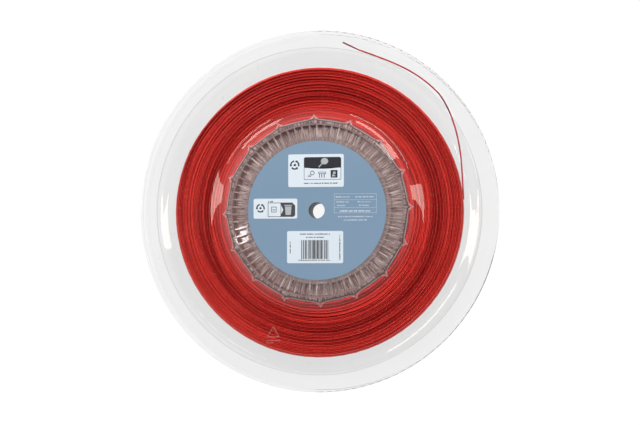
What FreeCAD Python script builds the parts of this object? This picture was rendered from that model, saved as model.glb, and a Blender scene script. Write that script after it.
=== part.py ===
import FreeCAD
import Part
import math
import os

import Sketcher
from FreeCAD import Placement, Rotation, Vector

# Racket string reel: two clear dished flanges glued on a ribbed drum, a clear cap with a paper
# label in each end of the drum, a spindle sleeve through the middle, and 200 m of 1.25 mm string.
# Millimetres. Each half is drawn upwards from the reel's middle plane; the finished reel lies flat
# with its spindle axis on +Z and stands on z = 0 with the hub rings of its rear face.

SIZES = {
    # outside of the reel
    "flange_radius": 145.0,
    "face_height": 14.0,
    "wall": 1.5,
    "glue_gap": 0.05,
    # flange section, from the hub outwards
    "boss_inner_radius": 69.8,
    "boss_radius": 71.0,
    "cove_corner_radius": 82.0,
    "cove_corner_inside": 81.6,
    "cove_fillet": 22.0,
    "channel_height": 6.0,
    "rise_foot_radius": 122.2,
    "rise_foot_inside": 122.5,
    "rise_foot_fillet": 20.0,
    "rise_top_radius": 128.6,
    "rise_top_inside": 128.9,
    "rise_top_fillet": 11.0,
    "rise_height": 3.0,
    "step_radius": 131.2,
    "step_foot": 0.1,
    "step_height": 0.35,
    "lip_slope_height": 0.4,
    "bead_inner_radius": 142.8,
    "bead_height": 0.25,
    "bead_fillet": 0.95,
    "boss_fillet": 0.4,
    # gussets round the boss
    "gusset_count": 16,
    "gusset_bearing": 2.0,
    "gusset_tip_radius": 77.0,
    "gusset_half_width": 3.3,
    "gusset_root_radius": 70.4,
    "gusset_foot_height": 10.4,
    "gusset_rise": 3.4,
    "gusset_taper": -23.0,
    # string slots in the front flange
    "slot_length": 9.2,
    "slot_width": 2.8,
    "leaving_slot_x": 106.3,
    "leaving_slot_y": 77.2,
    "leaving_slot_turn": 112.3,
    "entry_slot_x": 96.8,
    "entry_slot_y": 93.5,
    "entry_slot_turn": 131.7,
    "end_slot_x": 31.0,
    "end_slot_y": 130.1,
    "end_slot_turn": 157.0,
    # raised moulding mark on the front flange
    "mark_x": -35.9,
    "mark_y": -98.7,
    "mark_side": 11.0,
    "mark_stroke": 0.9,
    "mark_row_pitch": 1.9,
    "mark_relief": 0.3,
    "mark_root": 0.2,
    # drum
    "winding_inner_radius": 72.7,
    "drum_wall_inner_radius": 70.2,
    "drum_wall_height": 11.1,
    "drum_side_height": 10.4,
    "drum_shoulder_height": 12.1,
    "drum_rim_inner_radius": 68.7,
    "drum_height": 13.3,
    "drum_core_radius": 57.6,
    "drum_core_wall": 1.2,
    "drum_middle_web": 1.5,
    "rib_count": 70,
    "rib_thickness": 1.1,
    "rib_height": 13.0,
    "rib_root": 0.5,
    # caps and sleeve
    "cap_radius": 57.5,
    "cap_thickness": 1.7,
    "cap_skirt_wall": 1.4,
    "cap_skirt_depth": 4.0,
    "cap_collar_wall": 1.6,
    "cap_collar_depth": 7.0,
    "label_recess": 0.4,
    "label_recess_radius": 55.9,
    "sleeve_radius": 8.0,
    "bore_radius": 6.5,
    # labels
    "label_radius": 55.7,
    "label_thickness": 0.25,
    "sticker_thickness": 0.12,
    "sticker_corner": 1.3,
    "top_sticker_x": -0.5,
    "top_sticker_y": 31.8,
    "top_sticker_width": 44.8,
    "top_sticker_height": 26.3,
    "left_sticker_x": -33.3,
    "left_sticker_y": 1.5,
    "left_sticker_width": 35.5,
    "left_sticker_height": 16.0,
    "bottom_sticker_x": -1.2,
    "bottom_sticker_y": -29.4,
    "bottom_sticker_width": 45.2,
    "bottom_sticker_height": 25.7,
    # string
    "string_diameter": 1.25,
    "winding_radius": 116.3,
    "winding_clearance": 0.1,
    "winding_hub_half": 10.35,
    "winding_crown": 1.5,
}

SLOTS = ("leaving_slot", "entry_slot", "end_slot")
STICKERS = ("top_sticker", "left_sticker", "bottom_sticker")

# Route of the string's free end: tangent off the winding, out through the first slot, in through
# the second, along under the lip, and out through the third. Heights are above the middle plane.
TAIL_ROUTE = [
    (116.7, 8.6, 3.6),
    (116.1, 20.6, 4.0),
    (115.5, 34.8, 4.7),
    (114.2, 49.2, 5.6),
    (111.5, 62.4, 6.5),
    (107.7, 73.9, 7.6),
    (104.9, 80.5, 12.1),
    (99.2, 90.8, 12.3),
    (94.4, 96.2, 8.0),
    (86.5, 103.3, 8.2),
    (75.0, 111.3, 8.3),
    (61.5, 118.1, 8.2),
    (47.0, 124.0, 8.1),
    (34.3, 128.7, 7.9),
    (27.7, 131.5, 12.2),
    (21.0, 134.8, 12.3),
]

# Share of the shorter run beside each corner of that route which its arc takes up.
ARC_SHARE = 0.45

# Edges closer together than this are taken as one when they are looked up.
SAME_PLACE = 1e-4


def size(alias):
    """Expression that reads one cell of the sheet."""
    return "Sizes." + alias


def make_sheet(doc):
    sheet = doc.addObject("Spreadsheet::Sheet", "Sizes")
    for row, (alias, number) in enumerate(SIZES.items(), start=1):
        sheet.set("A%d" % row, alias.replace("_", " "))
        sheet.set("B%d" % row, str(number))
        sheet.setAlias("B%d" % row, alias)
    doc.recompute()


def add_body(doc, label):
    body = doc.addObject("PartDesign::Body", label)
    body.Label = label
    return body


def origin_feature(body, role):
    return next(item for item in body.Origin.OriginFeatures if item.Role == role)


def add_sketch(body, name, role, height=None):
    """Sketch on one of the body's origin planes, lifted along its normal by an expression."""
    sketch = body.newObject("Sketcher::SketchObject", name)
    sketch.AttachmentSupport = (origin_feature(body, role), "")
    sketch.MapMode = "FlatFace"
    if height:
        sketch.setExpression("AttachmentOffset.Base.z", height)
    return sketch


def value(item, expression):
    return float(item.evalExpression(expression))


def bind(sketch, constraint, expression):
    index = sketch.addConstraint(constraint)
    sketch.setExpression("Constraints[%d]" % index, expression)


def add_polygon(sketch, corners):
    """Closed outline; each corner is a pair of expressions for its two coordinates."""
    points = [Vector(value(sketch, a), value(sketch, b), 0) for a, b in corners]
    first = sketch.GeometryCount
    last = first + len(points) - 1
    for index, point in enumerate(points):
        sketch.addGeometry(Part.LineSegment(point, points[(index + 1) % len(points)]))
    for index in range(first, last + 1):
        after = index + 1 if index < last else first
        sketch.addConstraint(Sketcher.Constraint("Coincident", index, 2, after, 1))
    for index, (corner, point) in enumerate(zip(corners, points), start=first):
        bind(sketch, Sketcher.Constraint("DistanceX", -1, 1, index, 1, point.x), corner[0])
        bind(sketch, Sketcher.Constraint("DistanceY", -1, 1, index, 1, point.y), corner[1])


def add_rectangle(sketch, left, low, right, top):
    add_polygon(sketch, [(left, low), (right, low), (right, top), (left, top)])


def add_round_slot(sketch, half_run, radius):
    """Slot about the sketch's origin: two half-round ends joined by tangent sides."""
    x = value(sketch, half_run)
    r = value(sketch, radius)
    normal = Vector(0, 0, 1)
    quarter = math.pi / 2
    sketch.addGeometry([
        Part.ArcOfCircle(Part.Circle(Vector(x, 0, 0), normal, r), -quarter, quarter),
        Part.LineSegment(Vector(x, r, 0), Vector(-x, r, 0)),
        Part.ArcOfCircle(Part.Circle(Vector(-x, 0, 0), normal, r), quarter, 3 * quarter),
        Part.LineSegment(Vector(-x, -r, 0), Vector(x, -r, 0)),
    ])
    for index in range(4):
        sketch.addConstraint(Sketcher.Constraint("Tangent", index, 2, (index + 1) % 4, 1))
    for arc, side, place in ((0, x, half_run), (2, -x, "-" + half_run)):
        bind(sketch, Sketcher.Constraint("DistanceX", -1, 1, arc, 3, side), place)
        bind(sketch, Sketcher.Constraint("DistanceY", -1, 1, arc, 3, 0), "0")
        bind(sketch, Sketcher.Constraint("Radius", arc, r), radius)


def add_circle(sketch, radius, centre=("0", "0")):
    x, y, r = (value(sketch, expression) for expression in (*centre, radius))
    index = sketch.addGeometry(Part.Circle(Vector(x, y, 0), Vector(0, 0, 1), r))
    bind(sketch, Sketcher.Constraint("DistanceX", -1, 1, index, 3, x), centre[0])
    bind(sketch, Sketcher.Constraint("DistanceY", -1, 1, index, 3, y), centre[1])
    bind(sketch, Sketcher.Constraint("Radius", index, r), radius)


def revolve(body, name, corners):
    """Full turn of an outline, given as radius and height, about the reel's axis."""
    sketch = add_sketch(body, name + "_outline", "XZ_Plane")
    add_polygon(sketch, corners)
    turned = body.newObject("PartDesign::Revolution", name)
    turned.Profile = sketch
    turned.ReferenceAxis = (sketch, ["V_Axis"])
    turned.Angle = 360
    body.Document.recompute()
    return turned


def groove(body, name, corners):
    """Full-turn cut about the reel's axis; raises if it removes nothing."""
    before = body.Shape.Volume
    sketch = add_sketch(body, name + "_outline", "XZ_Plane")
    add_polygon(sketch, corners)
    cut = body.newObject("PartDesign::Groove", name)
    cut.Profile = sketch
    cut.ReferenceAxis = (sketch, ["V_Axis"])
    cut.Angle = 360
    body.Document.recompute()
    if not cut.Shape.Volume < before:
        raise RuntimeError(name + " cuts nothing")


def pad(body, name, sketch, length, midplane=False, taper=None):
    raised = body.newObject("PartDesign::Pad", name)
    raised.Profile = sketch
    raised.setExpression("Length", length)
    raised.Midplane = midplane
    if taper:
        raised.setExpression("TaperAngle", taper)
    return raised


def cut_through(body, name, sketch):
    """Pocket on both sides of its sketch; raises if it removes nothing."""
    before = body.Shape.Volume
    pocket = body.newObject("PartDesign::Pocket", name)
    pocket.Profile = sketch
    pocket.Type = "ThroughAll"
    pocket.Midplane = True
    body.Document.recompute()
    if not pocket.Shape.Volume < before:
        raise RuntimeError(name + " cuts nothing")


def repeat_round(body, name, feature, count):
    pattern = body.newObject("PartDesign::PolarPattern", name)
    pattern.Originals = [feature]
    pattern.Axis = (origin_feature(body, "Z_Axis"), [""])
    pattern.Angle = 360
    pattern.setExpression("Occurrences", count)
    body.Tip = pattern
    body.Document.recompute()


def ring_edges(feature, rings):
    """Names of the circular edges that lie at the given radii and heights."""
    names = []
    for ring in rings:
        wanted = [value(feature, expression) for expression in ring]
        for number, edge in enumerate(feature.Shape.Edges, start=1):
            if not isinstance(edge.Curve, Part.Circle):
                continue
            found = (edge.Curve.Radius, edge.Curve.Center.z)
            if all(math.isclose(a, b, abs_tol=SAME_PLACE) for a, b in zip(found, wanted)):
                names.append("Edge%d" % number)
    if len(names) < len(rings):
        raise RuntimeError("an edge of %s was not found" % feature.Label)
    return names


def fillet(body, name, base, rings, radius):
    rounded = body.newObject("PartDesign::Fillet", name)
    rounded.Base = (base, ring_edges(base, rings))
    rounded.setExpression("Radius", radius)
    body.Document.recompute()
    return rounded


# ---- flanges ----

CHANNEL = size("channel_height")
WEB_TOP = "Sizes.channel_height + Sizes.wall"
RISE_TOP = "Sizes.channel_height + Sizes.wall + Sizes.rise_height"
RISE_INSIDE = "Sizes.channel_height + Sizes.rise_height"
LIP_START = RISE_TOP + " + Sizes.step_foot"
LIP_TOP = LIP_START + " + Sizes.step_height"
BEAD_LOW = RISE_INSIDE + " + Sizes.lip_slope_height - Sizes.bead_height"
BEAD_HIGH = LIP_TOP + " + Sizes.lip_slope_height"
# The cone under the boss runs parallel to the cone on its outside.
CONE_SLOPE = "(Sizes.face_height - (%s)) / (Sizes.cove_corner_radius - Sizes.boss_radius)" % WEB_TOP
CONE_INSIDE = "%s + (Sizes.cove_corner_inside - Sizes.boss_inner_radius) * %s" % (CHANNEL, CONE_SLOPE)


def flange_outline():
    return [
        (size("boss_inner_radius"), CONE_INSIDE),
        (size("cove_corner_inside"), CHANNEL),
        (size("rise_foot_inside"), CHANNEL),
        (size("rise_top_inside"), RISE_INSIDE),
        (size("bead_inner_radius"), RISE_INSIDE + " + Sizes.lip_slope_height"),
        (size("bead_inner_radius"), BEAD_LOW),
        (size("flange_radius"), BEAD_LOW),
        (size("flange_radius"), BEAD_HIGH),
        (size("bead_inner_radius"), BEAD_HIGH),
        (size("bead_inner_radius"), BEAD_HIGH + " - Sizes.bead_height"),
        (size("step_radius"), LIP_TOP),
        (size("step_radius"), LIP_START),
        (size("rise_top_radius"), RISE_TOP),
        (size("rise_foot_radius"), WEB_TOP),
        (size("cove_corner_radius"), WEB_TOP),
        (size("boss_radius"), size("face_height")),
        (size("boss_inner_radius"), size("face_height")),
    ]


def flange_shell(body):
    """Dished disc of even wall: hub cone, flat web, rise to the stepped lip, and edge bead."""
    last = revolve(body, "shell", flange_outline())
    rounds = [
        ("cove", [("cove_corner_radius", WEB_TOP)], "Sizes.cove_fillet"),
        ("cove_inside", [("cove_corner_inside", CHANNEL)], "Sizes.cove_fillet + Sizes.wall"),
        ("rise_foot", [("rise_foot_radius", WEB_TOP)], "Sizes.rise_foot_fillet"),
        ("rise_foot_under", [("rise_foot_inside", CHANNEL)], "Sizes.rise_foot_fillet + Sizes.wall"),
        ("rise_crest", [("rise_top_radius", RISE_TOP)], "Sizes.rise_top_fillet"),
        ("rise_crest_under", [("rise_top_inside", RISE_INSIDE)], "Sizes.rise_top_fillet - Sizes.wall"),
    ]
    for name, rings, radius in rounds:
        last = fillet(body, name, last, [(size(alias), height) for alias, height in rings], radius)
    edge = [(size("flange_radius"), BEAD_LOW), (size("flange_radius"), BEAD_HIGH)]
    last = fillet(body, "bead", last, edge, size("bead_fillet"))
    fillet(body, "boss_edge", last, [(size("boss_radius"), size("face_height"))], size("boss_fillet"))


def add_gussets(body):
    """Pointed gussets from the boss down to the cove, with sloping sides."""
    sketch = add_sketch(body, "gusset_plan", "XY_Plane", size("gusset_foot_height"))
    sketch.setExpression("AttachmentOffset.Rotation.Angle", size("gusset_bearing"))
    add_polygon(sketch, [
        (size("gusset_root_radius"), size("gusset_half_width")),
        (size("gusset_root_radius"), "-Sizes.gusset_half_width"),
        (size("gusset_tip_radius"), "0"),
    ])
    gusset = pad(body, "gusset", sketch, size("gusset_rise"), taper=size("gusset_taper"))
    body.Document.recompute()
    repeat_round(body, "gussets", gusset, size("gusset_count"))
    groove(body, "gusset_undercut", [
        (size("boss_inner_radius"), CONE_INSIDE),
        (size("boss_inner_radius"), CHANNEL),
        (size("cove_corner_inside"), CHANNEL),
    ])


def add_slots(body):
    """Round-ended slots, each turned to the string that passes through it."""
    for name in SLOTS:
        sketch = add_sketch(body, name + "_plan", "XY_Plane")
        sketch.setExpression("AttachmentOffset.Base.x", size(name + "_x"))
        sketch.setExpression("AttachmentOffset.Base.y", size(name + "_y"))
        sketch.setExpression("AttachmentOffset.Rotation.Angle", size(name + "_turn"))
        add_round_slot(sketch, "(Sizes.slot_length - Sizes.slot_width) / 2", "Sizes.slot_width / 2")
        cut_through(body, name, sketch)


def add_mark(body):
    """Raised triangle and two bars, a plain moulding mark on the flange's flat web."""
    sketch = add_sketch(body, "mark_plan", "XY_Plane", WEB_TOP + " - Sizes.mark_root")
    sketch.setExpression("AttachmentOffset.Base.x", size("mark_x"))
    sketch.setExpression("AttachmentOffset.Base.y", size("mark_y"))
    for reach in ("Sizes.mark_side / sqrt(3)", "(Sizes.mark_side / sqrt(3) - 2 * Sizes.mark_stroke)"):
        foot = "-%s / 2" % reach
        half_side = "%s * sqrt(3) / 2" % reach
        add_polygon(sketch, [("0", reach), ("-" + half_side, foot), (half_side, foot)])
    for row in (1, 2):
        top = "-Sizes.mark_side / (2 * sqrt(3)) - %d * Sizes.mark_row_pitch" % row
        left = "-Sizes.mark_side / 2"
        right = "%s + Sizes.mark_side / %d" % (left, row)
        add_rectangle(sketch, left, top + " - Sizes.mark_stroke", right, top)
    pad(body, "mark", sketch, "Sizes.mark_relief + Sizes.mark_root")
    body.Document.recompute()


def make_flange(doc, label, front):
    body = add_body(doc, label)
    flange_shell(body)
    add_gussets(body)
    if front:
        add_slots(body)
        add_mark(body)
    return body


# ---- drum, caps and sleeve ----


def make_drum(doc):
    """Winding drum: a wall for the string, a core tube, a middle web and radial ribs between them."""
    body = add_body(doc, "winding_drum")
    rim = "Sizes.boss_inner_radius - Sizes.glue_gap"
    core_outside = "Sizes.drum_core_radius + Sizes.drum_core_wall"
    half_web = "Sizes.drum_middle_web / 2"
    height = size("drum_height")
    revolve(body, "walls", [
        (size("drum_core_radius"), "-Sizes.drum_height"),
        (core_outside, "-Sizes.drum_height"),
        (core_outside, "-" + half_web),
        (size("drum_wall_inner_radius"), "-" + half_web),
        (size("drum_wall_inner_radius"), "-Sizes.drum_wall_height"),
        (size("drum_rim_inner_radius"), "-Sizes.drum_wall_height"),
        (size("drum_rim_inner_radius"), "-Sizes.drum_height"),
        (rim, "-Sizes.drum_height"),
        (rim, "-Sizes.drum_shoulder_height"),
        (size("winding_inner_radius"), "-Sizes.drum_side_height"),
        (size("winding_inner_radius"), size("drum_side_height")),
        (rim, size("drum_shoulder_height")),
        (rim, height),
        (size("drum_rim_inner_radius"), height),
        (size("drum_rim_inner_radius"), size("drum_wall_height")),
        (size("drum_wall_inner_radius"), size("drum_wall_height")),
        (size("drum_wall_inner_radius"), half_web),
        (core_outside, half_web),
        (core_outside, height),
        (size("drum_core_radius"), height),
    ])
    sketch = add_sketch(body, "rib_plan", "XY_Plane")
    sketch.setExpression("AttachmentOffset.Rotation.Angle", "180 / Sizes.rib_count")
    half_rib = "Sizes.rib_thickness / 2"
    rib_start = "Sizes.drum_core_radius + Sizes.drum_core_wall / 2"
    rib_end = "Sizes.drum_rim_inner_radius + Sizes.rib_root"
    add_rectangle(sketch, rib_start, "-" + half_rib, rib_end, half_rib)
    rib = pad(body, "rib", sketch, "2 * Sizes.rib_height", midplane=True)
    doc.recompute()
    repeat_round(body, "ribs", rib, size("rib_count"))
    return body


def make_cap(doc, label):
    """Cap for one end of the drum, with a shallow recess for the label."""
    body = add_body(doc, label)
    under = "Sizes.face_height - Sizes.cap_thickness"
    floor = "Sizes.face_height - Sizes.label_recess"
    hole = "Sizes.sleeve_radius + Sizes.glue_gap"
    collar = hole + " + Sizes.cap_collar_wall"
    skirt = "Sizes.cap_radius - Sizes.cap_skirt_wall"
    revolve(body, "cap", [
        (hole, "Sizes.face_height - Sizes.cap_collar_depth"),
        (collar, "Sizes.face_height - Sizes.cap_collar_depth"),
        (collar, under),
        (skirt, under),
        (skirt, "Sizes.face_height - Sizes.cap_skirt_depth"),
        (size("cap_radius"), "Sizes.face_height - Sizes.cap_skirt_depth"),
        (size("cap_radius"), size("face_height")),
        (size("label_recess_radius"), size("face_height")),
        (size("label_recess_radius"), floor),
        (hole, floor),
    ])
    return body


def make_sleeve(doc):
    body = add_body(doc, "spindle_sleeve")
    sketch = add_sketch(body, "sleeve_section", "XY_Plane")
    add_circle(sketch, size("sleeve_radius"))
    add_circle(sketch, size("bore_radius"))
    pad(body, "sleeve", sketch, "2 * (Sizes.face_height - Sizes.label_recess)", midplane=True)
    doc.recompute()
    return body


# ---- labels ----

LABEL_FLOOR = "Sizes.face_height - Sizes.label_recess"


def make_label(doc, label):
    body = add_body(doc, label)
    sketch = add_sketch(body, "label_plan", "XY_Plane", LABEL_FLOOR)
    add_circle(sketch, size("label_radius"))
    add_circle(sketch, size("bore_radius"))
    pad(body, "paper", sketch, size("label_thickness"))
    doc.recompute()
    return body


def make_sticker(doc, label):
    """Rectangular sticker with rounded corners, lying on the front label."""
    body = add_body(doc, label)
    sketch = add_sketch(body, "sticker_plan", "XY_Plane", LABEL_FLOOR + " + Sizes.label_thickness")
    x = size(label + "_x")
    y = size(label + "_y")
    half_width = "Sizes.%s_width / 2" % label
    half_height = "Sizes.%s_height / 2" % label
    add_rectangle(
        sketch,
        "%s - %s" % (x, half_width),
        "%s - %s" % (y, half_height),
        "%s + %s" % (x, half_width),
        "%s + %s" % (y, half_height),
    )
    sheet = pad(body, "paper", sketch, size("sticker_thickness"))
    doc.recompute()
    upright = [
        "Edge%d" % number
        for number, edge in enumerate(sheet.Shape.Edges, start=1)
        if abs(edge.Vertexes[0].Z - edge.Vertexes[-1].Z) > SAME_PLACE
    ]
    rounded = body.newObject("PartDesign::Fillet", "corners")
    rounded.Base = (sheet, upright)
    rounded.setExpression("Radius", size("sticker_corner"))
    doc.recompute()
    return body


# ---- string ----


def make_winding(doc):
    """Outer shape of the wound string, wider against the hub cones and crowned at the outside."""
    body = add_body(doc, "string_winding")
    inner = "Sizes.winding_inner_radius + Sizes.winding_clearance"
    outer = size("winding_radius")
    corner = size("cove_corner_inside")
    half = "Sizes.channel_height - Sizes.winding_clearance"
    hub_half = size("winding_hub_half")
    crown = "Sizes.winding_radius - Sizes.winding_crown"
    flat = half + " - Sizes.winding_crown"
    revolve(body, "winding", [
        (inner, "-" + hub_half),
        (corner, "-(%s)" % half),
        (crown, "-(%s)" % half),
        (outer, "-(%s)" % flat),
        (outer, flat),
        (crown, half),
        (corner, half),
        (inner, hub_half),
    ])
    return body


def tail_wire(points):
    """Straight runs joined by tangent arcs, as large as the runs allow; also returns the radii."""
    edges = []
    radii = []
    start = points[0]
    for before, corner, after in zip(points, points[1:], points[2:]):
        back = before - corner
        ahead = after - corner
        half_turn = (math.pi - back.getAngle(ahead)) / 2
        reach = ARC_SHARE * min(back.Length, ahead.Length)
        radius = reach / math.tan(half_turn)
        back.normalize()
        ahead.normalize()
        middle = back + ahead
        middle.normalize()
        entry = corner + back * reach
        leaving = corner + ahead * reach
        inside = corner + middle * (radius / math.cos(half_turn) - radius)
        edges.append(Part.LineSegment(start, entry).toShape())
        edges.append(Part.Arc(entry, inside, leaving).toShape())
        radii.append(radius)
        start = leaving
    edges.append(Part.LineSegment(start, points[-1]).toShape())
    return Part.Wire(edges), radii


def make_tail(doc):
    """The string's free end, a round tube along its route."""
    points = [Vector(*point) for point in TAIL_ROUTE]
    wire, radii = tail_wire(points)
    radius = SIZES["string_diameter"] / 2
    ring = Part.Circle(points[0], points[1] - points[0], radius).toShape()
    tube = wire.makePipeShell([Part.Wire([ring])], True, True)
    expected = math.pi * radius ** 2 * wire.Length
    print("tail length %.1f mm, smallest radii %s" % (wire.Length, ["%.1f" % r for r in sorted(radii)[:4]]))
    print("tail volume %.2f, section times length %.2f" % (tube.Volume, expected))
    feature = doc.addObject("Part::Feature", "string_tail")
    feature.Label = "string_tail"
    feature.Shape = tube
    return feature


# ---- the assembly ----


def build(doc):
    front = Placement(Vector(0, 0, SIZES["face_height"]), Rotation())
    rear = Placement(Vector(0, 0, SIZES["face_height"]), Rotation(Vector(1, 0, 0), 180))
    placed = [
        (make_flange(doc, "front_flange", True), front),
        (make_flange(doc, "rear_flange", False), rear),
        (make_drum(doc), front),
        (make_cap(doc, "front_cap"), front),
        (make_cap(doc, "rear_cap"), rear),
        (make_sleeve(doc), front),
        (make_label(doc, "front_label"), front),
        (make_label(doc, "rear_label"), rear),
        (make_winding(doc), front),
        (make_tail(doc), front),
    ]
    for label in STICKERS:
        placed.append((make_sticker(doc, label), front))
    for item, place in placed:
        item.Placement = place
    doc.recompute()
    return [item for item, _ in placed]


def check(doc, nodes):
    for item in doc.Objects:
        if "Invalid" in item.State or "Error" in item.State:
            raise RuntimeError("%s failed: %s" % (item.Name, item.State))
    for node in nodes:
        if node.Shape.isNull() or not node.Shape.isValid() or not node.Shape.Solids:
            raise RuntimeError("%s has no valid solid" % node.Label)


def main():
    doc = FreeCAD.newDocument("string_reel")
    make_sheet(doc)
    nodes = build(doc)
    check(doc, nodes)
    os.makedirs("parts", exist_ok=True)
    for node in nodes:
        node.Shape.exportStep("parts/%s.step" % node.Label)
        box = node.Shape.BoundBox
        volume = node.Shape.Volume / 1000
        print("%-16s z %.2f..%.2f  volume %.1f cm3" % (node.Label, box.ZMin, box.ZMax, volume))


main()
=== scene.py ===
import math
import random

import bpy
import numpy as np
from mathutils import Matrix, Vector


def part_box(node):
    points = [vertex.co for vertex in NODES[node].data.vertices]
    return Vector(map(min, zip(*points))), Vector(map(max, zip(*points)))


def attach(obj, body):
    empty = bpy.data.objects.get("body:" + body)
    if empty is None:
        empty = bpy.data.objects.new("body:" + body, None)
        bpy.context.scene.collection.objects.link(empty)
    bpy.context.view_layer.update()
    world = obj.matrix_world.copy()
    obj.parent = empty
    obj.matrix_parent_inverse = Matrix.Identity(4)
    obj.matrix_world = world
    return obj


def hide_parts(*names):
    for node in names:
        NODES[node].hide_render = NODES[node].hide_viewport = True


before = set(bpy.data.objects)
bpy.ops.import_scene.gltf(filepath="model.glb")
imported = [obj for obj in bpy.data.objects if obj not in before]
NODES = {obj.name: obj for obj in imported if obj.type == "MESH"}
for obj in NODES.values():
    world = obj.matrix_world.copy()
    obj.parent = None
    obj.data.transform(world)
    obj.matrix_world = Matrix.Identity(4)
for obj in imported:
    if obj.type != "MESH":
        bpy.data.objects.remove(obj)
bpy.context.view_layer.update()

MM = 0.001
BODY = "root"
STRING_DIAMETER = 1.25 * MM
WINDING_START = 73.4 * MM
WEB_HEIGHT = 7.5 * MM

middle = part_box("front_flange")[1].z / 2
web_top = middle + WEB_HEIGHT
winding_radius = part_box("string_winding")[1].x
label_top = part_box("front_label")[1].z
sticker_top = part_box("top_sticker")[1].z
rear_label_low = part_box("rear_label")[0].z


# ---- camera, floor and light ----

AIM = Vector((0.0010, -0.0012, middle))
CAMERA_DISTANCE = 1.15
CAMERA_TILT = math.radians(7.6)
CAMERA_BEARING = math.radians(-18)
LENS = 80.0
NEAREST = 0.01
FLOOR_SIZE = 6.0
FLOOR_GLOW = 0.92

LAMP_DISTANCE = 1.6
# Each lamp's name, its tilt and bearing in degrees, its width and length, and its power.
FILL_LAMPS = [
    ("fill_right", 45, 52, 0.9, 0.6, 12.2),
    ("fill_left", 45, 131, 0.9, 0.6, 12.2),
]
SHINE_LAMPS = [
    ("high_right", 57, 57, 0.85, 0.28, 5.2),
    ("high_left", 57, 131, 0.6, 0.28, 3.7),
    ("low_right", 38, 57, 0.95, 0.10, 2.0),
    ("low_left", 38, 140, 0.5, 0.12, 1.1),
    ("strip_right", 33, 15, 0.22, 1.2, 5.6),
    ("strip_left", 42, 169, 0.22, 1.2, 5.6),
]
WARM_WHITE = (1.0, 0.86, 0.78)
SPARK_IMAGE = Vector((-0.0612, -0.0196, middle))
SPARK_SIZE = (0.018, 0.029)
SPARK_POWER = 0.026

# How bright the room is, from the horizon to straight above.
ROOM_TONES = [(0.0, 1.0), (0.2, 0.95), (0.35, 0.7), (0.55, 0.4), (0.85, 0.1), (0.93, 0.02)]


def aim_from(position, target, up):
    """Matrix of a camera or lamp at position that looks at target, with up towards the top."""
    back = (position - target).normalized()
    right = up.cross(back).normalized()
    top = back.cross(right)
    turn = Matrix((right, top, back)).transposed().to_4x4()
    turn.translation = position
    return turn


def polar(distance, tilt, bearing):
    """A point at the given distance, tilted away from straight above towards the bearing."""
    flat = math.sin(tilt)
    return Vector((flat * math.cos(bearing), flat * math.sin(bearing), math.cos(tilt))) * distance


camera_place = AIM + polar(CAMERA_DISTANCE, CAMERA_TILT, CAMERA_BEARING)


def add_camera():
    data = bpy.data.cameras.new("camera")
    data.lens = LENS
    data.clip_start = NEAREST
    camera = bpy.data.objects.new("camera", data)
    bpy.context.scene.collection.objects.link(camera)
    camera.matrix_world = aim_from(camera_place, AIM, Vector((0, 1, 0)))
    bpy.context.scene.camera = camera


def add_lamp(name, width, length, power):
    data = bpy.data.lights.new(name, "AREA")
    data.shape = "RECTANGLE"
    data.size = width
    data.size_y = length
    data.energy = power
    lamp = bpy.data.objects.new(name, data)
    bpy.context.scene.collection.objects.link(lamp)
    return lamp


def add_softbox(name, tilt, bearing, width, length, power):
    """Area lamp aimed at the reel, its length along its tilt."""
    lamp = add_lamp(name, width, length, power)
    lamp.visible_transmission = False
    bearing = math.radians(bearing)
    place = polar(LAMP_DISTANCE, math.radians(tilt), bearing)
    outwards = Vector((math.cos(bearing), math.sin(bearing), 0))
    lamp.matrix_world = aim_from(place, Vector((0, 0, 0)), outwards)
    return lamp


def add_spark():
    """Small lamp whose mirror image in the drum's flat web falls on a few cells at the left."""
    width, length = SPARK_SIZE
    lamp = add_lamp("spark", width, length, SPARK_POWER)
    sight = camera_place - SPARK_IMAGE
    place = SPARK_IMAGE + Vector((-sight.x, -sight.y, sight.z))
    lamp.matrix_world = aim_from(place, SPARK_IMAGE, Vector((0, 1, 0)))


def add_floor():
    bpy.ops.mesh.primitive_plane_add(size=FLOOR_SIZE)
    floor = bpy.context.object
    floor.name = "floor"
    material = bpy.data.materials.new("floor_paper")
    material.use_nodes = True
    shader = material.node_tree.nodes["Principled BSDF"]
    shader.inputs["Base Color"].default_value = (0.12, 0.12, 0.12, 1)
    shader.inputs["Roughness"].default_value = 0.9
    shader.inputs["Emission Color"].default_value = (1, 1, 1, 1)
    shader.inputs["Emission Strength"].default_value = FLOOR_GLOW
    floor.data.materials.append(material)


def greys(stops):
    """Stops whose colours are plain levels."""
    return [(position, (level, level, level)) for position, level in stops]


def fill_ramp(node, stops):
    """Gives a ramp node its stops, each a position and a colour."""
    band = node.color_ramp
    while len(band.elements) < len(stops):
        band.elements.new(0.5)
    for element, (position, colour) in zip(band.elements, stops):
        element.position = position
        element.color = (*colour, 1)


def add_room():
    """A room that is bright towards the horizon and dark straight above."""
    world = bpy.data.worlds.new("room")
    bpy.context.scene.world = world
    world.use_nodes = True
    nodes, links = world.node_tree.nodes, world.node_tree.links
    place = nodes.new("ShaderNodeTexCoord")
    height = nodes.new("ShaderNodeSeparateXYZ")
    tone = nodes.new("ShaderNodeValToRGB")
    links.new(place.outputs["Generated"], height.inputs["Vector"])
    links.new(height.outputs["Z"], tone.inputs["Fac"])
    links.new(tone.outputs["Color"], nodes["Background"].inputs["Color"])
    fill_ramp(tone, greys(ROOM_TONES))


def add_lamps():
    """Fill lamps light the reel without a reflection, and shine lamps only leave a reflection."""
    for row in FILL_LAMPS:
        add_softbox(*row).visible_glossy = False
    for row in SHINE_LAMPS:
        lamp = add_softbox(*row)
        lamp.visible_diffuse = False
        lamp.data.color = WARM_WHITE
    add_spark()


# ---- materials ----


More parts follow.
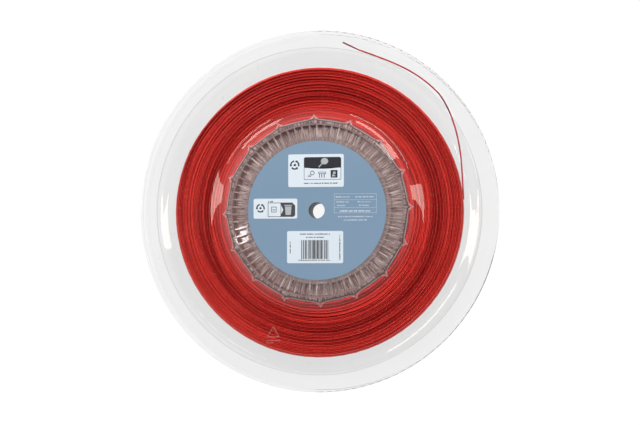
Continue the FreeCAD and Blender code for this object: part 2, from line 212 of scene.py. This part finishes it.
class Nodes:
    """Short forms for building a procedural material."""

    def __init__(self, name):
        self.material = bpy.data.materials.new(name)
        self.material.use_nodes = True
        self.tree = self.material.node_tree
        self.shader = self.tree.nodes["Principled BSDF"]
        self.output = self.tree.nodes["Material Output"]

    def add(self, kind, **inputs):
        node = self.tree.nodes.new(kind)
        for name, value in inputs.items():
            self.feed(node.inputs[name.replace("_", " ")], value)
        return node

    def feed(self, socket, value):
        """Links a value that is another socket, and sets a plain one."""
        if isinstance(value, bpy.types.NodeSocket):
            self.tree.links.new(value, socket)
        elif socket.type == "RGBA":
            socket.default_value = (*value, 1)
        else:
            socket.default_value = value

    def set(self, **inputs):
        for name, value in inputs.items():
            self.feed(self.shader.inputs[name.replace("_", " ")], value)

    def place(self):
        return self.add("ShaderNodeTexCoord").outputs["Object"]

    def math(self, operation, first, second=0.0):
        node = self.tree.nodes.new("ShaderNodeMath")
        node.operation = operation
        for socket, value in zip(node.inputs, (first, second)):
            self.feed(socket, value)
        return node.outputs["Value"]

    def mix(self, factor, first, second):
        """Colour between first and second; either may be a socket or a plain colour."""
        node = self.tree.nodes.new("ShaderNodeMix")
        node.data_type = "RGBA"
        for place, value in ((0, factor), (6, first), (7, second)):
            self.feed(node.inputs[place], value)
        return node.outputs[2]

    def flat_polar(self):
        """Distance from the reel's axis, and the direction from it as cosine and sine."""
        parts = self.add("ShaderNodeSeparateXYZ", Vector=self.place())
        x, y = parts.outputs["X"], parts.outputs["Y"]
        radius = self.math("SQRT", self.math("ADD", self.math("MULTIPLY", x, x), self.math("MULTIPLY", y, y)))
        return radius, self.math("DIVIDE", x, radius), self.math("DIVIDE", y, radius)

    def noise_over(self, parts, scales, detail):
        """Noise over three values, each with a scale of its own."""
        x, y, z = [self.math("MULTIPLY", part, scale) for part, scale in zip(parts, scales)]
        place = self.add("ShaderNodeCombineXYZ", X=x, Y=y, Z=z).outputs["Vector"]
        return self.add("ShaderNodeTexNoise", Vector=place, Scale=1.0, Detail=detail).outputs["Fac"]

    def steepness(self):
        """0 on flat faces and 1 on upright ones."""
        normal = self.add("ShaderNodeNewGeometry").outputs["Normal"]
        upright = self.add("ShaderNodeSeparateXYZ", Vector=normal).outputs["Z"]
        return self.math("SUBTRACT", 1.0, self.math("ABSOLUTE", upright))

    def matt_inside(self, roughness):
        """Roughness for faces that look up, which on the rear half is the side towards the string."""
        normal = self.add("ShaderNodeNewGeometry").outputs["Normal"]
        upright = self.add("ShaderNodeSeparateXYZ", Vector=normal).outputs["Z"]
        return self.math("MULTIPLY", self.math("GREATER_THAN", upright, 0.2), roughness)

    def let_lamps_through(self, tint):
        """Lamps shine straight through the plastic, tinted, while the eye sees it bend light."""
        path = self.add("ShaderNodeLightPath")
        straight = self.math("MAXIMUM", path.outputs["Is Shadow Ray"], path.outputs["Is Diffuse Ray"])
        clear = self.add("ShaderNodeBsdfTransparent", Color=tint)
        both = self.add("ShaderNodeMixShader", Fac=straight)
        self.tree.links.new(self.shader.outputs["BSDF"], both.inputs[1])
        self.tree.links.new(clear.outputs["BSDF"], both.inputs[2])
        self.tree.links.new(both.outputs["Shader"], self.output.inputs["Surface"])

    def noise(self, scale, detail=3.0):
        return self.add("ShaderNodeTexNoise", Vector=self.place(), Scale=scale, Detail=detail).outputs["Fac"]

    def ramp(self, factor, stops):
        node = self.add("ShaderNodeValToRGB", Fac=factor)
        fill_ramp(node, stops)
        return node.outputs["Color"]

    def spread(self, factor, low, high, start=0.0, end=1.0):
        """Goes from low to high as the factor goes from start to end."""
        limits = {"From_Min": start, "From_Max": end, "To_Min": low, "To_Max": high}
        return self.add("ShaderNodeMapRange", Value=factor, **limits).outputs["Result"]

    def bump(self, height, strength, distance):
        node = self.add("ShaderNodeBump", Height=height, Strength=strength, Distance=distance)
        return node.outputs["Normal"]


# How often the strokes change round the axis, as cosine and sine, and along their length.
STROKE_SCALES = (95.0, 95.0, 90.0)


def radial_strokes(m, polar_place):
    """Fine strokes that run out from the axis."""
    radius, cosine, sine = polar_place
    return m.noise_over((cosine, sine, radius), STROKE_SCALES, detail=3.0)


# The ring round the hub has a point at each gusset. The sizes of its outline and of the gussets' tips
# are how far they reach out, how wide they are at the root, and how wide the line round them is.
GUSSET_BEARING = math.radians(2.0)
GUSSET_SPACING = math.radians(22.5)
RING_RADIUS = 71.9 * MM
OUTLINE = (1.8 * MM, 3.2 * MM, 1.1 * MM)
TIPS = (5.0 * MM, 2.3 * MM, 0.9 * MM)
TIP_FADE = (0.12, 0.3)


def pointed_ring(m, polar_place, sizes):
    """A ring round the hub with a point at every gusset: its inside, its edge, its edge at the points."""
    reach, flank, width = sizes
    radius, cosine, sine = polar_place
    bearing = m.math("ARCTAN2", sine, cosine)
    turned = m.math("ADD", bearing, GUSSET_SPACING / 2 - GUSSET_BEARING)
    within = m.math("FLOORED_MODULO", turned, GUSSET_SPACING)
    aside = m.math("MULTIPLY", m.math("ABSOLUTE", m.math("SUBTRACT", within, GUSSET_SPACING / 2)), radius)
    cusp = m.math("EXPONENT", m.math("DIVIDE", aside, -flank))
    beyond = m.math("SUBTRACT", radius, m.math("ADD", m.math("MULTIPLY", cusp, reach), RING_RADIUS))
    line = m.spread(m.math("ABSOLUTE", beyond), 1.0, 0.0, 0.0, width)
    point = m.spread(cusp, 0.0, 1.0, *TIP_FADE)
    return m.math("LESS_THAN", beyond, 0.0), line, m.math("MULTIPLY", line, point)


MARK_PLACE = (-35.9 * MM, -98.7 * MM)
MARK_REACH = 9.0 * MM
MARK_RELIEF = 0.2 * MM


def raised_mark(m):
    """Where the moulding mark stands proud of the front flange."""
    parts = m.add("ShaderNodeSeparateXYZ", Vector=m.place())
    mask = m.math("GREATER_THAN", parts.outputs["Z"], web_top + MARK_RELIEF)
    for axis, place in zip("XY", MARK_PLACE):
        aside = m.math("ABSOLUTE", m.math("SUBTRACT", parts.outputs[axis], place))
        mask = m.math("MULTIPLY", mask, m.math("LESS_THAN", aside, MARK_REACH))
    return mask


LIP_LINE = 131.3 * MM
LIP_LINE_WIDTH = 0.5 * MM


def lip_line(m, radius):
    """The faint line of painted shade at the step of the lip, which fades in and out round the reel."""
    aside = m.math("ABSOLUTE", m.math("SUBTRACT", radius, LIP_LINE))
    line = m.math("LESS_THAN", aside, LIP_LINE_WIDTH / 2)
    return m.math("MULTIPLY", line, m.spread(m.noise(8, 2), 0.1, 0.8))


CLEAR_TONES = [(0.3, (0.925, 0.935, 0.94)), (0.7, (0.96, 0.965, 0.965))]
# Painted shade: the inner band, next to the winding, is darker; the outer band is plain clear tone.
INNER_BAND_PAINTED_SHADE = (0.875, 0.88, 0.88)
OUTER_BAND_TINT = (0.955, 0.957, 0.957)
BAND_SHARE = 0.7


def clear_tone(m, radius):
    """The plastic's own faint tone; beyond the winding a band on each side of the lip's step, the inner one
    darker as painted shade from the winding.
    """
    tone = m.ramp(m.noise(22, 2), CLEAR_TONES)
    band = m.mix(m.math("GREATER_THAN", radius, LIP_LINE), INNER_BAND_PAINTED_SHADE, OUTER_BAND_TINT)
    beyond = m.math("MULTIPLY", m.math("GREATER_THAN", radius, winding_radius), BAND_SHARE)
    return m.mix(beyond, tone, band)


# Faces that stand on edge are painted darker as shade, reddish within this distance of the axis.
HUB_ZONE = 100.0 * MM
EDGE_STEEPNESS = (0.25, 0.7)
EDGE_PAINTED_SHADE = (0.74, 0.73, 0.73)
HUB_EDGE_PAINTED_SHADE = (0.55, 0.14, 0.12)
# From the gaps between the strokes to the strokes.
RING_TONES = [(0.38, (0.17, 0.10, 0.095)), (0.5, (0.31, 0.21, 0.20)), (0.62, (0.55, 0.42, 0.40))]
# Painted highlight: the pale lines at the gussets' tips.
TIP_PAINTED_HIGHLIGHT = (0.66, 0.27, 0.25)
# Painted shade: the dark line round the hub's outline.
HUB_OUTLINE_PAINTED_SHADE = (0.09, 0.05, 0.047)
# Painted shade: the faint line at the lip's step.
LIP_LINE_PAINTED_SHADE = (0.55, 0.56, 0.57)
# Painted highlight: the raised mark is painted lighter for the glints off its relief.
MARK_PAINTED_HIGHLIGHT = (0.86, 0.42, 0.38)


def clear_tints(m, front, polar_place):
    """Where the clear plastic is tinted, the colour there, and how cloudy it is there; the steep faces, the
    hub's outline and the lip's step get painted shade, and the gussets' tips and the raised mark get painted
    highlights.
    """
    radius = polar_place[0]
    edge = m.spread(m.steepness(), 0.0, 1.0, *EDGE_STEEPNESS)
    steep_shade_colour = m.mix(m.math("GREATER_THAN", radius, HUB_ZONE), HUB_EDGE_PAINTED_SHADE, EDGE_PAINTED_SHADE)
    ring, outline, _ = pointed_ring(m, polar_place, OUTLINE)
    _, _, points = pointed_ring(m, polar_place, TIPS)
    tips = m.math("MULTIPLY", points, m.math("SUBTRACT", 1.0, ring))
    tints = [
        (edge, steep_shade_colour, 0.35),
        (ring, m.ramp(radial_strokes(m, polar_place), RING_TONES), 0.8),
        (tips, TIP_PAINTED_HIGHLIGHT, 0.7),
        (outline, HUB_OUTLINE_PAINTED_SHADE, 0.8),
    ]
    if front:
        tints.append((lip_line(m, radius), LIP_LINE_PAINTED_SHADE, 0.0))
        tints.append((raised_mark(m), MARK_PAINTED_HIGHLIGHT, 0.25))
    return tints


REAR_GLOSS = (0.15, 0.15, 0.15)
REAR_INSIDE_ROUGHNESS = 0.25


def clear_plastic(name, side):
    """Clear moulding, milky and painted darker as shade where it stands on edge, and painted with light and
    shade at its gussets; side is -1 for the rear half.
    """
    m = Nodes(name)
    front = side > 0
    radius, cosine, sine = m.flat_polar()
    colour = clear_tone(m, radius)
    clouded = 0.0
    for share, tint, cloud in clear_tints(m, front, (radius, cosine, m.math("MULTIPLY", sine, side))):
        colour = m.mix(share, colour, tint)
        clouded = m.math("MAXIMUM", clouded, m.math("MULTIPLY", share, cloud))
    roughness = m.spread(m.noise(90), 0.015, 0.045)
    if not front:
        roughness = m.math("ADD", roughness, m.matt_inside(REAR_INSIDE_ROUGHNESS))
        m.set(Specular_Tint=REAR_GLOSS)
    m.set(
        Base_Color=colour,
        Roughness=roughness,
        IOR=1.5,
        Normal=m.bump(m.noise(14, 2), strength=0.02, distance=0.002),
        Transmission_Weight=m.math("SUBTRACT", 1.0, clouded),
    )
    m.let_lamps_through((0.95, 0.95, 0.95))
    return m.material


CORE_EDGE = 60.2 * MM
RIM_START = 68.0 * MM
SMOKE_TONES = [(0.38, (0.34, 0.25, 0.24)), (0.5, (0.56, 0.44, 0.425)), (0.62, (0.92, 0.80, 0.78))]
CORE_TINT = (0.36, 0.27, 0.26)
RIM_TINT = (0.46, 0.36, 0.35)
# Painted light on upright faces, and painted shade on the rim's upright faces.
WALL_PAINTED_LIGHT = (0.92, 0.82, 0.80)
RIM_WALL_PAINTED_SHADE = (0.25, 0.12, 0.11)


def smoky_plastic():
    """Clear plastic that looks grey-brown over the string, with fine radial strokes; its upright faces are
    painted lighter as light, and darker at the rim as shade.
    """
    m = Nodes("smoky_polystyrene")
    polar_place = m.flat_polar()
    radius = polar_place[0]
    colour = m.ramp(radial_strokes(m, polar_place), SMOKE_TONES)
    core = m.math("MULTIPLY", m.math("LESS_THAN", radius, CORE_EDGE), 0.5)
    colour = m.mix(core, colour, CORE_TINT)
    rim = m.math("GREATER_THAN", radius, RIM_START)
    colour = m.mix(rim, colour, RIM_TINT)
    upright = m.mix(rim, WALL_PAINTED_LIGHT, RIM_WALL_PAINTED_SHADE)
    m.set(
        Base_Color=m.mix(m.steepness(), colour, upright),
        Roughness=m.spread(m.noise(500), 0.08, 0.25),
        IOR=1.46,
        Normal=m.bump(m.noise(420, 3), strength=0.25, distance=0.0006),
        Transmission_Weight=0.5,
        Coat_Weight=1.0,
        Coat_Roughness=0.02,
    )
    m.let_lamps_through((0.95, 0.91, 0.90))
    return m.material


STRING_ROUGHNESS = (0.2, 0.32)
TAIL_TONES = [(0.3, (0.50, 0.012, 0.022)), (0.7, (0.72, 0.03, 0.045))]
# Painted shade on the tail where it lies outside the flange.
TAIL_OUTSIDE_PAINTED_SHADE = (0.22, 0.008, 0.01)
# Above this height over the middle plane the tail lies outside the flange.
TAIL_OUTSIDE = 10.2 * MM


def tail_string():
    """The free end of the same string, painted a deeper red as only the light floor lies behind it, and
    darker still as painted shade where it lies outside the flange.
    """
    m = Nodes("red_monofilament_tail")
    height = m.add("ShaderNodeSeparateXYZ", Vector=m.place()).outputs["Z"]
    outside = m.math("GREATER_THAN", height, middle + TAIL_OUTSIDE)
    m.set(
        Base_Color=m.mix(outside, m.ramp(m.noise(60, 2), TAIL_TONES), TAIL_OUTSIDE_PAINTED_SHADE),
        Roughness=m.spread(m.noise(700), *STRING_ROUGHNESS),
    )
    return m.material


# How bright the winding is painted from the hub outwards, as shares of its depth: painted light and shade.
WINDING_PAINTED_SHADING = [(0.0, 1.0), (0.36, 1.0), (0.42, 0.5), (0.50, 0.6), (0.60, 0.7), (0.90, 0.7), (1.0, 1.0)]
# The darkest and lightest a band of painted light and shade gets, and the part of the noise's range that
# takes it there.
BAND_CONTRAST = (0.15, 1.4, 0.33, 0.67)
# How often the bands change with radius, and round the axis as cosine and sine.
BAND_SCALES = (300.0, 0.7, 0.7)
# The turns' red in painted shade and in painted light.
TURNS_IN_PAINTED_SHADE = (0.33, 0.0005, 0.001)
TURNS_IN_PAINTED_LIGHT = (1.0, 0.052, 0.038)
# Painted highlight on the outermost turns.
OUTER_TURNS_PAINTED_HIGHLIGHT = (1.0, 0.18, 0.15)
OUTER_HIGHLIGHT_START = 1.6 * MM
OUTER_HIGHLIGHT_END = 0.3 * MM


def red_string():
    """Glossy red string; on the reel its turns carry painted light and shade in bands that drift in radius,
    painted shade between the turns, and a painted highlight on the outermost turns.
    """
    m = Nodes("red_monofilament")
    polar_place = m.flat_polar()
    radius = polar_place[0]
    bands = m.noise_over(polar_place, BAND_SCALES, detail=4.0)
    depth = m.spread(radius, 0.0, 1.0, WINDING_START, winding_radius)
    tone = m.math("MULTIPLY", m.spread(bands, *BAND_CONTRAST), m.ramp(depth, greys(WINDING_PAINTED_SHADING)))
    # Painted shade on the steep sides of each turn, between the turns.
    tone = m.math("MULTIPLY", tone, m.spread(m.steepness(), 1.0, 0.2))
    turns = m.mix(tone, TURNS_IN_PAINTED_SHADE, TURNS_IN_PAINTED_LIGHT)
    outer = m.spread(radius, 0.0, 0.5, winding_radius - OUTER_HIGHLIGHT_START, winding_radius - OUTER_HIGHLIGHT_END)
    m.set(
        Base_Color=m.mix(outer, turns, OUTER_TURNS_PAINTED_HIGHLIGHT),
        Roughness=m.spread(m.noise(700), *STRING_ROUGHNESS),
        Normal=m.bump(m.noise(1500, 2), strength=0.08, distance=0.0002),
        Specular_IOR_Level=0.3,
    )
    return m.material


def label_paper():
    m = Nodes("label_paper")
    wash = m.noise(9, 2)
    grain = m.noise(900, 4)
    m.set(
        Base_Color=m.ramp(wash, [(0.3, (0.20, 0.32, 0.455)), (0.7, (0.23, 0.345, 0.475))]),
        Roughness=m.spread(grain, 0.42, 0.58),
        Normal=m.bump(grain, strength=0.08, distance=0.0001),
    )
    return m.material


def sticker_paper():
    m = Nodes("sticker_paper")
    grain = m.noise(1200, 4)
    m.set(
        Base_Color=m.ramp(grain, [(0.3, (0.77, 0.855, 0.93)), (0.7, (0.80, 0.875, 0.95))]),
        Roughness=m.spread(grain, 0.38, 0.5),
    )
    return m.material


def ink(name, dark, light):
    m = Nodes(name)
    grain = m.noise(1500, 3)
    m.set(Base_Color=m.ramp(grain, [(0.3, dark), (0.7, light)]), Roughness=m.spread(grain, 0.35, 0.5))
    return m.material


# A real sleeve whose near-black colour is also painted shade for the bore's shadowed inside.
def sleeve_plastic():
    m = Nodes("sleeve_plastic")
    grain = m.noise(400, 3)
    m.set(
        Base_Color=m.ramp(grain, [(0.3, (0.018, 0.014, 0.014)), (0.7, (0.035, 0.028, 0.027))]),
        Roughness=m.spread(grain, 0.45, 0.6),
    )
    return m.material


def paint(node, material):
    data = NODES[node].data
    data.materials.clear()
    data.materials.append(material)


# ---- string ----

# The same route as the tube in the CAD model, in millimetres, its heights above the middle plane.
TAIL_ROUTE = [
    (116.7, 8.6, 3.6),
    (116.1, 20.6, 4.0),
    (115.5, 34.8, 4.7),
    (114.2, 49.2, 5.6),
    (111.5, 62.4, 6.5),
    (107.7, 73.9, 7.6),
    (104.9, 80.5, 12.1),
    (99.2, 90.8, 12.3),
    (94.4, 96.2, 8.0),
    (86.5, 103.3, 8.2),
    (75.0, 111.3, 8.3),
    (61.5, 118.1, 8.2),
    (47.0, 124.0, 8.1),
    (34.3, 128.7, 7.9),
    (27.7, 131.5, 12.2),
    (21.0, 134.8, 12.3),
]


def add_tail(material):
    curve = bpy.data.curves.new("string_tail_cord", "CURVE")
    curve.dimensions = "3D"
    curve.bevel_depth = STRING_DIAMETER / 2
    curve.bevel_resolution = 4
    curve.resolution_u = 12
    curve.use_fill_caps = True
    line = curve.splines.new("NURBS")
    line.points.add(len(TAIL_ROUTE) - 1)
    for point, (x, y, z) in zip(line.points, TAIL_ROUTE):
        point.co = (x * MM, y * MM, z * MM + middle, 1)
    line.order_u = 3
    line.use_endpoint_u = True
    tail = bpy.data.objects.new("string_tail_cord", curve)
    bpy.context.scene.collection.objects.link(tail)
    curve.materials.append(material)
    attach(tail, BODY)
    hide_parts("string_tail")
    x, y, z = TAIL_ROUTE[0]


def sweep(name, points, radius, sides):
    """Closed tube mesh along a dense line of points that winds about the Z axis."""
    points = np.asarray(points)
    ahead = np.gradient(points, axis=0)
    ahead /= np.linalg.norm(ahead, axis=1)[:, None]
    lift = np.array((0.0, 0.0, 1.0))
    side = np.cross(ahead, lift)
    side /= np.linalg.norm(side, axis=1)[:, None]
    up = np.cross(side, ahead)
    turn = np.arange(sides) * 2 * math.pi / sides
    ring = np.cos(turn)[None, :, None] * side[:, None, :] + np.sin(turn)[None, :, None] * up[:, None, :]
    verts = (points[:, None, :] + radius * ring).reshape(-1, 3)
    count = len(points)
    base = (np.arange(count - 1) * sides)[:, None]
    here = base + np.arange(sides)[None, :]
    beside = base + (np.arange(sides)[None, :] + 1) % sides
    quads = np.stack([here, beside, beside + sides, here + sides], axis=-1).reshape(-1, 4)
    faces = quads.tolist() + [list(range(sides))[::-1], list(range((count - 1) * sides, count * sides))]
    mesh = bpy.data.meshes.new(name)
    mesh.from_pydata(verts.tolist(), [], faces)
    mesh.polygons.foreach_set("use_smooth", [True] * len(mesh.polygons))
    mesh.update()
    thing = bpy.data.objects.new(name, mesh)
    bpy.context.scene.collection.objects.link(thing)
    return thing


LAYERS = 37
WINDING_SWELL = 0.6 * MM
WOBBLE = 0.11 * MM
WOBBLE_DRIFT = 1.03
STEPS_PER_TURN = 72
WINDING_SIDES = 6
# A layer stops this far short of its full width, its turns lie this many diameters apart,
# and the string climbs to the next layer within this share of a turn.
SIDE_GAP = (0.0, 0.35 * MM)
SPACING = (1.03, 1.10)
CLIMB = 0.12
CHANNEL_HALF = 5.2 * MM
HUB_WIDENING = 3.6 * MM
WIDENING_END = 82.0 * MM
# The winding grows a little further down than up, as its turns settle to one side.
LEAN = 0.8 * MM


def channel_half(radius):
    """Half the room for string centres across the channel, which widens towards the hub."""
    widening = max(0.0, (WIDENING_END - radius) / (WIDENING_END - WINDING_START))
    return CHANNEL_HALF + HUB_WIDENING * widening


def winding_path():
    """One string in level-wound layers; each crosses the channel once and closes with a full turn."""
    draw = random.Random(7)
    pitch = (winding_radius + WINDING_SWELL - STRING_DIAMETER / 2 - WINDING_START) / (LAYERS - 1)
    path = []
    angle = 0.0
    for layer in range(LAYERS):
        radius = WINDING_START + layer * pitch
        half = channel_half(radius) - draw.uniform(*SIDE_GAP)
        turns = 2 * half / (STRING_DIAMETER * draw.uniform(*SPACING))
        count = int((turns + 1) * STEPS_PER_TURN)
        side = 1 if layer % 2 else -1
        wobble = [draw.uniform(-WOBBLE, WOBBLE) for _ in range(3)]
        phase = [draw.uniform(0, 2 * math.pi) for _ in range(3)]
        for step in range(count):
            share = min(1.0, step / (turns * STEPS_PER_TURN))
            z = side * half * (2 * share - 1)
            rise = pitch * min(1.0, step / (CLIMB * STEPS_PER_TURN)) - pitch
            r = radius + (rise if layer else 0.0) - LEAN * layer / LAYERS * math.sin(angle)
            for order, (size, start) in enumerate(zip(wobble, phase), start=1):
                r += size * math.sin(order * WOBBLE_DRIFT * angle + start) / order
            path.append((r * math.cos(angle), r * math.sin(angle), middle + z))
            angle += 2 * math.pi / STEPS_PER_TURN
    return path


def add_winding(material):
    path = winding_path()
    half = len(path) // 2
    for name, points in (("string_winding_inner", path[: half + 1]), ("string_winding_outer", path[half:])):
        piece = sweep(name, points, STRING_DIAMETER / 2, WINDING_SIDES)
        piece.data.materials.append(material)
        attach(piece, BODY)
        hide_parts("string_winding")


# ---- printing on the labels ----

INK_ROOT = 0.02 * MM
INK_STEP = 0.012 * MM


class Print:
    """Flat printed shapes of one colour, each a thin closed prism; sizes in millimetres."""

    def __init__(self, name, material, slot, low, high):
        self.name = name
        self.material = material
        self.slot = slot
        self.low = low
        self.high = high
        self.verts = []
        self.faces = []

    def shape(self, outline):
        """Prism over an outline that is star-shaped about its middle, given anticlockwise."""
        count = len(outline)
        first = len(self.verts)
        for z in (self.low, self.high):
            self.verts.extend((x * MM, y * MM, z) for x, y in outline)
        self.faces.append(tuple(first + i for i in reversed(range(count))))
        self.faces.append(tuple(first + count + i for i in range(count)))
        for i in range(count):
            j = (i + 1) % count
            self.faces.append((first + i, first + j, first + count + j, first + count + i))

    def bar(self, left, low, right, top):
        self.shape([(left, low), (right, low), (right, top), (left, top)])

    def frame(self, left, low, right, top, stroke):
        self.bar(left, low, right, low + stroke)
        self.bar(left, top - stroke, right, top)
        self.bar(left, low + stroke, left + stroke, top - stroke)
        self.bar(right - stroke, low + stroke, right, top - stroke)

    def blob(self, x, y, width, height, steps=24):
        turns = [2 * math.pi * i / steps for i in range(steps)]
        self.shape([(x + width / 2 * math.cos(t), y + height / 2 * math.sin(t)) for t in turns])

    def arc(self, x, y, radius, stroke, start, end, steps=16):
        """Part of a ring, as a row of short pieces; angles in degrees."""
        turns = [math.radians(start + (end - start) * i / steps) for i in range(steps + 1)]
        inner, outer = radius - stroke / 2, radius + stroke / 2
        for a, b in zip(turns, turns[1:]):
            corners = ((inner, a), (outer, a), (outer, b), (inner, b))
            self.shape([(x + r * math.cos(t), y + r * math.sin(t)) for r, t in corners])

    def dashes(self, x, y, length, height, seed, upright=False):
        """A row of short strokes that stands for a line of small print."""
        draw = random.Random(seed)
        at = 0.0
        while at < length:
            run = min(draw.uniform(0.5, 1.3), length - at)
            tall = height * draw.uniform(0.7, 1.0)
            if upright:
                self.bar(x, y + at, x + tall, y + at + run)
            else:
                self.bar(x + at, y, x + at + run, y + tall)
            at += run + draw.choice((0.25, 0.25, 0.3, 0.9))

    def finish(self):
        mesh = bpy.data.meshes.new(self.name)
        mesh.from_pydata(self.verts, [], self.faces)
        mesh.update()
        mesh.materials.append(self.material)
        piece = bpy.data.objects.new(self.name, mesh)
        bpy.context.scene.collection.objects.link(piece)
        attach(piece, BODY)


def recycling_icon(ink_print, x, y, size):
    """Plain round icon: three arrows chasing each other round a ring, and a dot."""
    for start in (100, 220, 340):
        ink_print.arc(x, y, size * 0.8, size * 0.28, start, start + 78, steps=8)
        tip = math.radians(start + 104)
        heel = math.radians(start + 78)
        ink_print.shape([
            (x + size * 0.5 * math.cos(heel), y + size * 0.5 * math.sin(heel)),
            (x + size * 1.12 * math.cos(heel), y + size * 1.12 * math.sin(heel)),
            (x + size * 0.8 * math.cos(tip), y + size * 0.8 * math.sin(tip)),
        ])
    ink_print.blob(x, y, size * 0.5, size * 0.5, steps=12)


def racket(ink_print, x, y, width, height, grip_x, grip_y):
    """Racket silhouette: oval head and a slim handle down to its grip."""
    ink_print.blob(x, y, width, height)
    along = Vector((grip_x - x, grip_y - y)).normalized()
    across = Vector((-along.y, along.x)) * 0.45
    start = Vector((x, y)) + along * min(width, height) * 0.45
    end = Vector((grip_x, grip_y))
    corners = (start - across, end - across, end + across, start + across)
    ink_print.shape([tuple(corner) for corner in corners])


def print_top_sticker(black, light):
    black.shape([
        (-10.2, 34.3), (-2.7, 33.5), (4.8, 33.2), (12.3, 33.5), (19.8, 34.3),
        (19.8, 41.4), (19.4, 42.2), (18.6, 42.6), (-9.0, 42.6), (-9.8, 42.2), (-10.2, 41.4),
    ])
    black.frame(-10.2, 24.5, 19.8, 34.4, 0.35)
    racket(light, 6.4, 39.3, 5.9, 5.2, 1.7, 34.6)
    recycling_icon(black, -17.6, 36.4, 4.0)
    black.arc(-3.4, 29.9, 1.5, 0.5, 0, 360)
    black.bar(-7.1, 26.9, -4.4, 27.4)
    black.bar(-6.6, 28.0, -4.0, 28.4)
    black.frame(1.4, 29.2, 7.6, 30.8, 0.4)
    for x in (2.1, 3.9, 5.9):
        black.bar(x, 26.2, x + 0.6, 29.2)
    black.bar(11.4, 26.1, 16.8, 32.1)
    light.blob(14.3, 29.9, 2.4, 2.2)
    light.shape([(12.2, 26.9), (15.6, 27.2), (13.2, 29.2)])
    black.dashes(-10.2, 21.2, 27.1, 1.0, 3)


def print_left_sticker(black, light, grey):
    recycling_icon(black, -45.4, 1.9, 3.7)
    black.dashes(-39.0, 6.6, 3.8, 1.2, 4)
    grey.shape([
        (-29.6, -5.1), (-18.6, -5.1), (-17.3, -3.8), (-17.3, 3.9), (-19.7, 6.3), (-29.6, 6.3), (-26.9, 0.6),
    ])
    black.frame(-39.4, -5.1, -28.6, 6.3, 0.4)
    black.frame(-36.6, -1.4, -32.4, 3.0, 0.45)
    black.bar(-35.6, 0.2, -33.4, 0.8)
    light.shape([(-25.0, -3.6), (-20.8, -3.6), (-20.2, 3.2), (-25.6, 3.2)])
    light.bar(-26.0, 3.7, -19.8, 4.5)
    for x in (-24.0, -22.3):
        grey.bar(x, -2.4, x + 0.5, 1.9)


def print_bottom_sticker(black):
    black.dashes(-13.4, -19.4, 24.8, 0.9, 5)
    black.dashes(-8.4, -22.0, 14.2, 0.9, 6)
    draw = random.Random(11)
    x = -12.3
    while x < 9.6:
        width = draw.choice((0.3, 0.3, 0.45, 0.6, 0.9))
        black.bar(x, -38.9, x + width, -23.8)
        x += width + draw.choice((0.25, 0.3, 0.45, 0.7))
    black.dashes(-14.6, -40.2, 25.5, 0.8, 7)
    black.dashes(-21.6, -34.3, 9.2, 0.9, 8, upright=True)
    black.dashes(18.3, -39.4, 19.8, 0.9, 9, upright=True)


def print_label(pale):
    pale.frame(14.1, -2.2, 48.1, 13.2, 0.22)
    for y in (8.2, 2.0):
        pale.bar(14.3, y, 47.9, y + 0.2)
    rows = [
        (15.4, 10.1, 11.1, 1.1), (31.1, 10.1, 14.7, 1.1), (15.8, 6.2, 10.2, 0.9), (33.0, 6.2, 10.5, 0.9),
        (16.6, 3.4, 6.4, 0.9), (34.0, 3.4, 8.0, 0.9), (18.7, -1.3, 24.3, 1.5), (17.3, -5.6, 27.6, 1.0),
        (21.9, -8.3, 18.8, 1.0),
    ]
    for seed, (x, y, length, height) in enumerate(rows, start=20):
        pale.dashes(x, y, length, height, seed)


def print_rear_label(pale):
    """Plain rings round the spindle, and three rows of strokes."""
    for radius, stroke in ((50.0, 0.5), (47.5, 0.25), (14.0, 0.35)):
        pale.arc(0, 0, radius, stroke, 0, 360, steps=96)
    for seed, (y, length) in enumerate(((27.0, 44.0), (22.5, 30.0), (-26.0, 38.0)), start=40):
        pale.dashes(-length / 2, y, length, 1.6, seed)


def add_prints():
    on_sticker = ("sticker_paper", sticker_top - INK_ROOT, sticker_top + INK_STEP)
    over_ink = ("sticker_paper", sticker_top, sticker_top + 2 * INK_STEP)
    on_label = ("label_paper", label_top - INK_ROOT, label_top + INK_STEP)
    on_rear_label = ("label_paper", rear_label_low - INK_STEP, rear_label_low + INK_ROOT)
    pale_ink = ink("ink_pale", (0.55, 0.62, 0.70), (0.68, 0.74, 0.80))
    black_ink = ink("ink_black", (0.012, 0.014, 0.02), (0.03, 0.034, 0.045))
    grey_ink = ink("ink_grey", (0.045, 0.05, 0.06), (0.07, 0.078, 0.09))
    light_ink = ink("ink_light", (0.42, 0.45, 0.47), (0.55, 0.58, 0.60))
    black = Print("sticker_print_black", black_ink, *on_sticker)
    grey = Print("sticker_print_grey", grey_ink, *on_sticker)
    light = Print("sticker_print_light", light_ink, *over_ink)
    pale = Print("label_print_pale", pale_ink, *on_label)
    rear = Print("rear_label_print", pale_ink, *on_rear_label)
    print_top_sticker(black, light)
    print_left_sticker(black, light, grey)
    print_bottom_sticker(black)
    print_label(pale)
    print_rear_label(rear)
    for layer in (black, grey, light, pale, rear):
        layer.finish()


# ---- making ----

add_camera()
add_tail(tail_string())
add_floor()
add_room()
add_lamps()
bpy.context.scene.view_settings.view_transform = "Standard"

paint("front_flange", clear_plastic("clear_polystyrene_front", 1.0))
paint("rear_flange", clear_plastic("clear_polystyrene_rear", -1.0))
smoky = smoky_plastic()
for name in ("winding_drum", "front_cap", "rear_cap"):
    paint(name, smoky)
paint("spindle_sleeve", sleeve_plastic())
paper = label_paper()
for name in ("front_label", "rear_label"):
    paint(name, paper)
white = sticker_paper()
for name in ("top_sticker", "left_sticker", "bottom_sticker"):
    paint(name, white)
add_winding(red_string())
add_prints()
